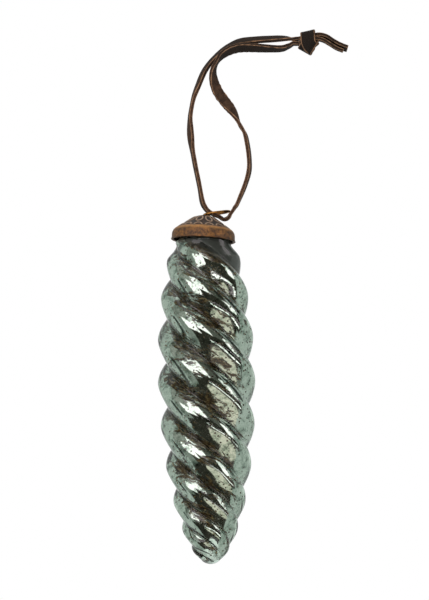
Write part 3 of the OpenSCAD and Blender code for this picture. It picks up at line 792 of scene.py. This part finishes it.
def lace_section(sizes, steps):
    """The lace's outline, flat on both sides with round corners: its points, and how near each one is to a
    cut edge and to a corner."""
    half_w, half_t, wear = sizes.width / 2, sizes.thickness / 2, sizes.wear
    corners = [(half_w - wear, half_t - wear, 0), (wear - half_w, half_t - wear, 1),
               (wear - half_w, wear - half_t, 2), (half_w - wear, wear - half_t, 3)]
    outline = []
    corner_points = 4
    for x, y, quarter in corners:
        for angle in np.radians(np.linspace(0, 90, corner_points) + 90 * quarter):
            outline.append((x + wear * math.cos(angle), y + wear * math.sin(angle)))
    outline = np.array(outline)
    dense = []
    for start, end in zip(outline, np.roll(outline, -1, axis=0)):
        count = steps if np.linalg.norm(end - start) > 1.5 * wear else 1
        dense += [start + (end - start) * k / count for k in range(count)]
    dense = np.array(dense)
    edge_width, corner_width, blur = 0.3 * MM, 0.4 * MM, 0.25 * MM
    edge = ease((np.abs(dense[:, 0]) - half_w + edge_width) / blur)
    off_corner = np.hypot(half_w - np.abs(dense[:, 0]), half_t - np.abs(dense[:, 1]))
    corner = ease((corner_width - off_corner) / blur)
    return dense, edge, corner


def ribbon(path, across, sizes, seed, widen=1.0):
    """A lace along a path. Its cut edges waver, and its ends are square.
    Returns its points, its faces, and at each point how near a cut edge is, how worn the corner is, and
    which side it lies on."""
    section, edge, corner = lace_section(sizes, steps=6)
    ahead = directions(path)
    across = across - ahead * np.sum(across * ahead, axis=1, keepdims=True)
    across /= np.linalg.norm(across, axis=1, keepdims=True)
    out = np.cross(ahead, across)
    length = np.concatenate([[0], np.cumsum(np.linalg.norm(np.diff(path, axis=0), axis=1))])
    side = np.sign(section[:, 0])[None, :]
    # The two edges waver apart from each other, and the flats swell unevenly across the lace.
    edge_phase, flat_phase = 1.3 * side, section[None, :, 0] / (2.5 * MM)
    waver = ripple(edge_phase, length[:, None], height=sizes.fray, turns=2, waves=500, seed=seed, count=24)
    swell = ripple(flat_phase, length[:, None], height=0.05 * MM, turns=2, waves=160, seed=seed + 1)
    x = section[None, :, 0] * widen + waver * edge[None, :] * side
    y = section[None, :, 1] + swell * np.sign(section[None, :, 1])
    points = path[:, None] + across[:, None] * x[..., None] + out[:, None] * y[..., None]
    cut = np.broadcast_to(edge[None, :], x.shape).copy()
    worn = np.broadcast_to(corner[None, :], x.shape).copy()
    cut[0] = cut[-1] = worn[0] = worn[-1] = 1
    flesh = np.broadcast_to((section[None, :, 1] < 0).astype(float), x.shape)
    marks = {"cut_edge": cut.ravel(), "worn_corner": worn.ravel(), "flesh_side": flesh.ravel()}
    return points.reshape(-1, 3), tube_faces(len(path), len(section)), marks


def leather_material(name, settings):
    """Vegetable-tanned lace cut from a hide and dyed dark brown: the grain side is smooth and dark, the
    flesh side is duller and paler, and the cut edges show the undyed fibres."""
    material, tree = new_material(name)
    place = add_node(tree, "TexCoord").outputs["Object"]
    cut = add_node(tree, "Attribute", attribute_name="cut_edge").outputs["Fac"]
    corner = add_node(tree, "Attribute", attribute_name="worn_corner").outputs["Fac"]
    flesh = add_node(tree, "Attribute", attribute_name="flesh_side").outputs["Fac"]
    # The dye is mottled every 2 or 3 mm. The fibres and pores are half a millimetre apart, coarser than the
    # real ones, so that they show.
    mottle = add_node(tree, "TexNoise", {
        "Vector": place, "Scale": 1 / (2.5 * MM), "Detail": 6.0, "Roughness": 0.65})
    grain_colour = add_node(tree, "ValToRGB", {"Fac": mottle}, stops=[
        (0.3, "#0d0906"), (0.7, settings.dye)])
    flesh_colour = add_node(tree, "ValToRGB", {"Fac": mottle}, stops=[
        (0.3, "#1f140c"), (0.7, "#412e20")])
    fibres = add_node(tree, "TexNoise", {
        "Vector": place, "Scale": 1 / (0.5 * MM), "Detail": 5.0, "Roughness": 0.7})
    edge_colour = add_node(tree, "ValToRGB", {"Fac": fibres}, stops=[
        (0.3, "#150d08"), (0.5, "#301f14"), (0.7, "#604430")])
    flat = add_node(tree, "Mix", {0: flesh, 6: grain_colour, 7: flesh_colour}, data_type="RGBA")
    # The dye is deeper towards the knot, which was dipped with both ends.
    height = add_node(tree, "SeparateXYZ", {"Vector": place})
    dipped = add_node(tree, "MapRange", {"Value": height.outputs["Z"]},
                      limits=(56 * MM, 72 * MM, 0.0, 0.8))
    cut_or_flat = add_node(tree, "Mix", {0: cut, 6: flat.outputs[2], 7: edge_colour}, data_type="RGBA")
    dyed = add_node(tree, "Mix", {
        0: dipped, 6: cut_or_flat.outputs[2], 7: linear("#15100b")}, data_type="RGBA")
    # The corners are rubbed back to the undyed hide, more in some places than in others.
    rubbed = add_node(tree, "MapRange", {"Value": mottle}, limits=(0.35, 0.6, 0.1, 0.9))
    rubbed = add_node(tree, "Math", {0: rubbed, 1: corner}, operation="MULTIPLY")
    colour = add_node(tree, "Mix", {0: rubbed, 6: dyed.outputs[2], 7: settings.hide}, data_type="RGBA")
    pores = add_node(tree, "TexVoronoi", {"Vector": place, "Scale": 1 / (0.45 * MM)})
    rough_height = add_node(tree, "Math", {0: pores, 1: fibres}, operation="ADD")
    bump = add_node(tree, "Bump", {"Height": rough_height, "Strength": 0.6, "Distance": 0.08 * MM})
    shader = add_node(tree, "BsdfPrincipled", {
        "Base Color": colour.outputs[2], "Roughness": 0.8, "Specular IOR Level": 0.2,
        "Normal": bump})
    add_node(tree, "OutputMaterial", {"Surface": shader})
    return material


def lace_piece(name, ribbons, material, node):
    """One object from several ribbons."""
    faces, count = [], 0
    for ribbon_points, ribbon_faces, _ in ribbons:
        faces += [f + count for f in ribbon_faces]
        count += len(ribbon_points)
    points = np.concatenate([points for points, _, _ in ribbons])
    marks = {mark: np.concatenate([marks[mark] for _, _, marks in ribbons]) for mark in ribbons[0][2]}
    return new_piece(name, points, faces, [material], node, marks)


class ICICLE_OT_lace(bpy.types.Operator):
    """Lays the leather lace through the wire loop and ties its knot"""

    bl_idname = "icicle.lace"
    bl_label = "Leather lace"

    def execute(self, context):
        sizes = context.scene.icicle_lace
        leather = leather_material("Dyed leather lace", sizes)
        route = smooth_path(ROUTE, steps=10)
        path = route[:, :3] * MM
        thong = lace_piece("leather_lace", [ribbon(path, turned_across(path, route[:, 3]), sizes, seed=21)],
                           leather, "leather_thong")

        # The tails start a hair past the loop's ends, so that no two end faces lie in one plane.
        tail_start = KNOT_X + 0.02
        strands = []
        for seed, tail in ((31, UPPER_TAIL), (37, LOWER_TAIL)):
            mouth = (tail_start, 0, UPPER_Z if tail is UPPER_TAIL else LOWER_Z, 90)
            through = smooth_path([mouth] + tail, steps=12)
            line = through[:, :3] * MM
            strands.append(ribbon(line, turned_across(line, through[:, 3]), sizes, seed))
        for seed, wrap, widen in ((41, UNDER_WRAP, 1.4), (43, FRONT_WRAP, 1.38)):
            band = smooth_path(wrap, steps=14)
            strands.append(ribbon(band[:, :3] * MM, band[:, 3:], sizes, seed, widen))
        knot = lace_piece("lace_knot", strands, leather, "leather_knot")

        return {"FINISHED"}


# Studio

GREEN_WHITE = (0.96, 1, 0.97, 1)
PINK_WHITE = (1, 0.9, 0.94, 1)
# The dark room on the camera's side, the soft boxes in it, the walls, and the pale bench below: name, turns
# from the front and heights in degrees, distance in metres, linear colour, strength, and rounding. Of two
# cloths in one direction, the nearer one shows.
CLOTHS = [
    ("dark_room", (-92, 84), (-66, 74), 0.70, (0.045, 0.040, 0.033, 1), 1.0, 0),
    ("dim_corner", (16, 58), (16, 66), 0.69, (1, 0.96, 0.86, 1), 0.14, 0),
    ("grey_wall", (-90, -24), (12, 64), 0.69, (1, 0.97, 0.92, 1), 0.42, 0),
    ("left_wall", (-162, -90), (-62, 64), 0.70, GREEN_WHITE, 0.6, 0),
    ("right_wall", (84, 162), (-62, 64), 0.70, GREEN_WHITE, 0.6, 0),
    ("dark_side", (-112, -99), (-26, 0), 0.68, (0.9, 1, 0.92, 1), 0.06, 0),
    ("dark_corner", (94, 122), (16, 54), 0.68, (0.9, 1, 0.95, 1), 0.05, 0),
    ("dim_side", (-92, -60), (-34, 14), 0.69, (0.96, 1, 0.94, 1), 0.34, 0),
    ("left_soft_box", (-66, -26), (-17, 20), 0.67, PINK_WHITE, 2.1, 0.3),
    ("top_soft_box", (-34, 18), (9, 64), 0.67, PINK_WHITE, 2.1, 0.3),
    ("right_soft_box", (56, 82), (-2, 32), 0.67, PINK_WHITE, 2.0, 0.3),
    ("low_soft_box", (-14, 80), (-23, -19.5), 0.66, PINK_WHITE, 2.6, 0.3),
    ("low_right_wall", (70, 84), (-66, -28), 0.69, GREEN_WHITE, 0.6, 0),
    ("pale_bench", (-30, 72), (-50, -28), 0.66, (1, 0.87, 0.77, 1), 1.0, 0.9),
]


class ICICLE_OT_camera(bpy.types.Operator):
    """Sets the camera at the photograph's viewing angle"""

    bl_idname = "icicle.camera"
    bl_label = "Camera"

    def execute(self, context):
        studio = context.scene.icicle_studio
        data = bpy.data.cameras.new("studio_camera")
        data.sensor_fit = "VERTICAL"
        data.lens = data.sensor_height * studio.distance / studio.field
        data.clip_start, data.clip_end = 0.05, 30
        camera = add_object("studio_camera", data)
        back = Vector((0, -math.cos(studio.elevation), math.sin(studio.elevation)))
        up = Vector((math.sin(studio.lean), 0, math.cos(studio.lean)))
        right = up.cross(back).normalized()
        up = back.cross(right)
        turn = Matrix((right, up, back)).transposed().to_4x4()
        camera.matrix_world = Matrix.Translation(Vector(studio.aim) + back * studio.distance) @ turn
        context.scene.camera = camera
        return {"FINISHED"}


def emitting_material(name, colour, strength):
    """A plain lit cloth: it gives off one colour, evenly."""
    material, tree = new_material(name)
    light = add_node(tree, "Emission", {"Color": colour, "Strength": strength})
    add_node(tree, "OutputMaterial", {"Surface": light})
    return material


def add_cloth(name, turns, heights, distance, colour, strength, rounding):
    """A lit cloth that shows only in reflections. It is a part of a ball round the glass: x and y follow the
    sine and cosine of the turn from the front, and z the sine of the height, all in degrees. The rounding
    goes from 0 for a square cloth to 1 for an oval one, by the ellipse's map of a square to a disc."""
    side = 25
    u, v = np.meshgrid(np.linspace(-1, 1, side), np.linspace(-1, 1, side), indexing="ij")
    u, v = u * np.sqrt(1 - rounding * v * v / 2), v * np.sqrt(1 - rounding * u * u / 2)
    turn = np.radians((turns[1] + turns[0] + (turns[1] - turns[0]) * u) / 2)
    height = np.radians((heights[1] + heights[0] + (heights[1] - heights[0]) * v) / 2)
    away = np.stack([np.sin(turn) * np.cos(height), -np.cos(turn) * np.cos(height), np.sin(height)], -1)
    middle = [0, 0, -80 * MM]
    points = away.reshape(-1, 3) * distance + middle
    i, j = np.meshgrid(np.arange(side - 1), np.arange(side - 1), indexing="ij")
    first = (i * side + j).ravel()
    faces = np.stack([first, first + 1, first + side + 1, first + side], -1)
    mesh = bpy.data.meshes.new(name)
    mesh.from_pydata(points.tolist(), [], faces.tolist())
    mesh.materials.append(emitting_material(name, colour, strength))
    cloth = add_object(name, mesh)
    cloth.visible_camera = False
    cloth.visible_diffuse = False
    cloth.visible_shadow = False


def add_lamp(name, place, aim, size, watts):
    """A square area lamp that points at the aim and doesn't show itself."""
    data = bpy.data.lights.new(name, "AREA")
    data.size = size
    data.energy = watts
    lamp = add_object(name, data)
    lamp.location = place
    lamp.rotation_euler = (Vector(aim) - Vector(place)).to_track_quat("-Z", "Y").to_euler()
    lamp.visible_camera = False
    lamp.visible_glossy = False
    lamp.visible_transmission = False


def white_surround():
    """A world that is white where it is seen, and lights the object a little less."""
    world = bpy.data.worlds.new("White surround")
    world.use_nodes = True
    tree = world.node_tree
    tree.nodes.clear()
    path = add_node(tree, "LightPath")
    seen = add_node(tree, "Math", {
        0: path.outputs["Is Camera Ray"], 1: path.outputs["Is Glossy Ray"]}, operation="MAXIMUM")
    seen = add_node(tree, "Math", {0: seen, 1: path.outputs["Is Transmission Ray"]}, operation="MAXIMUM")
    strength = add_node(tree, "MapRange", {"Value": seen}, limits=(0, 1, 0.75, 1.0))
    light = add_node(tree, "Background", {"Color": (1, 1, 1, 1), "Strength": strength})
    add_node(tree, "OutputWorld", {"Surface": light})
    return world


def add_floor(studio):
    """A matt white floor, far below the object."""
    material, tree = new_material("Matt white floor")
    paint = add_node(tree, "BsdfDiffuse", {"Color": studio.paint})
    add_node(tree, "OutputMaterial", {"Surface": paint})
    mesh = bpy.data.meshes.new("floor")
    half, z = 3.0, studio.floor
    corners = [(-half, -half, z), (half, -half, z), (half, half, z), (-half, half, z)]
    mesh.from_pydata(corners, [], [(0, 1, 2, 3)])
    mesh.materials.append(material)
    add_object("floor", mesh)


class ICICLE_OT_studio(bpy.types.Operator):
    """Sets the pale floor, the white surround, the lamps and the lit cloths"""

    bl_idname = "icicle.studio"
    bl_label = "Studio"

    def execute(self, context):
        studio = context.scene.icicle_studio
        context.scene.view_settings.view_transform = "Standard"
        context.scene.world = white_surround()
        add_floor(studio)
        aim, size = (0, 0, -0.04), 0.9
        add_lamp("key_lamp", (-0.9, -1.1, 0.9), aim, size, watts=22)
        add_lamp("fill_lamp", (1.1, -0.9, 0.3), aim, size, watts=10)
        for cloth in CLOTHS:
            add_cloth(*cloth)
        return {"FINISHED"}


# Panel

class ICICLE_PT_panel(bpy.types.Panel):
    """Lists the pieces with their sizes and colours"""

    bl_label = "Glass icicle"
    bl_idname = "ICICLE_PT_panel"
    bl_space_type = "VIEW_3D"
    bl_region_type = "UI"
    bl_category = "Icicle"

    def draw(self, context):
        for settings, operators in PANEL_ROWS:
            column = self.layout.column(align=True)
            for operator in operators:
                column.operator(operator.bl_idname, text=operator.bl_label)
            group = getattr(context.scene, settings)
            for name in group.bl_rna.properties.keys():
                if name not in ("rna_type", "name"):
                    column.prop(group, name)


GROUPS = {
    "icicle_glass": GlassSettings,
    "icicle_cap": CapSettings,
    "icicle_wire": WireSettings,
    "icicle_lace": LaceSettings,
    "icicle_studio": StudioSettings,
}
PANEL_ROWS = [
    ("icicle_glass", [ICICLE_OT_glass]),
    ("icicle_cap", [ICICLE_OT_cap]),
    ("icicle_wire", [ICICLE_OT_wire]),
    ("icicle_lace", [ICICLE_OT_lace]),
    ("icicle_studio", [ICICLE_OT_camera, ICICLE_OT_studio]),
]
CLASSES = [
    *GROUPS.values(), ICICLE_OT_camera, ICICLE_OT_lace, ICICLE_OT_glass, ICICLE_OT_cap, ICICLE_OT_wire,
    ICICLE_OT_studio, ICICLE_PT_panel,
]


def register():
    """Registers the classes and gives the scene its settings."""
    for each in CLASSES:
        bpy.utils.register_class(each)
    for name, group in GROUPS.items():
        setattr(bpy.types.Scene, name, bpy.props.PointerProperty(type=group))


def unregister():
    """Takes the settings and the classes away again."""
    for name in GROUPS:
        delattr(bpy.types.Scene, name)
    for each in reversed(CLASSES):
        bpy.utils.unregister_class(each)


def main():
    register()
    bpy.ops.icicle.camera()
    bpy.ops.icicle.lace()
    bpy.ops.icicle.glass()
    bpy.ops.icicle.cap()
    bpy.ops.icicle.wire()
    bpy.ops.icicle.studio()
    bpy.context.view_layer.update()


if __name__ == "__main__":
    main()
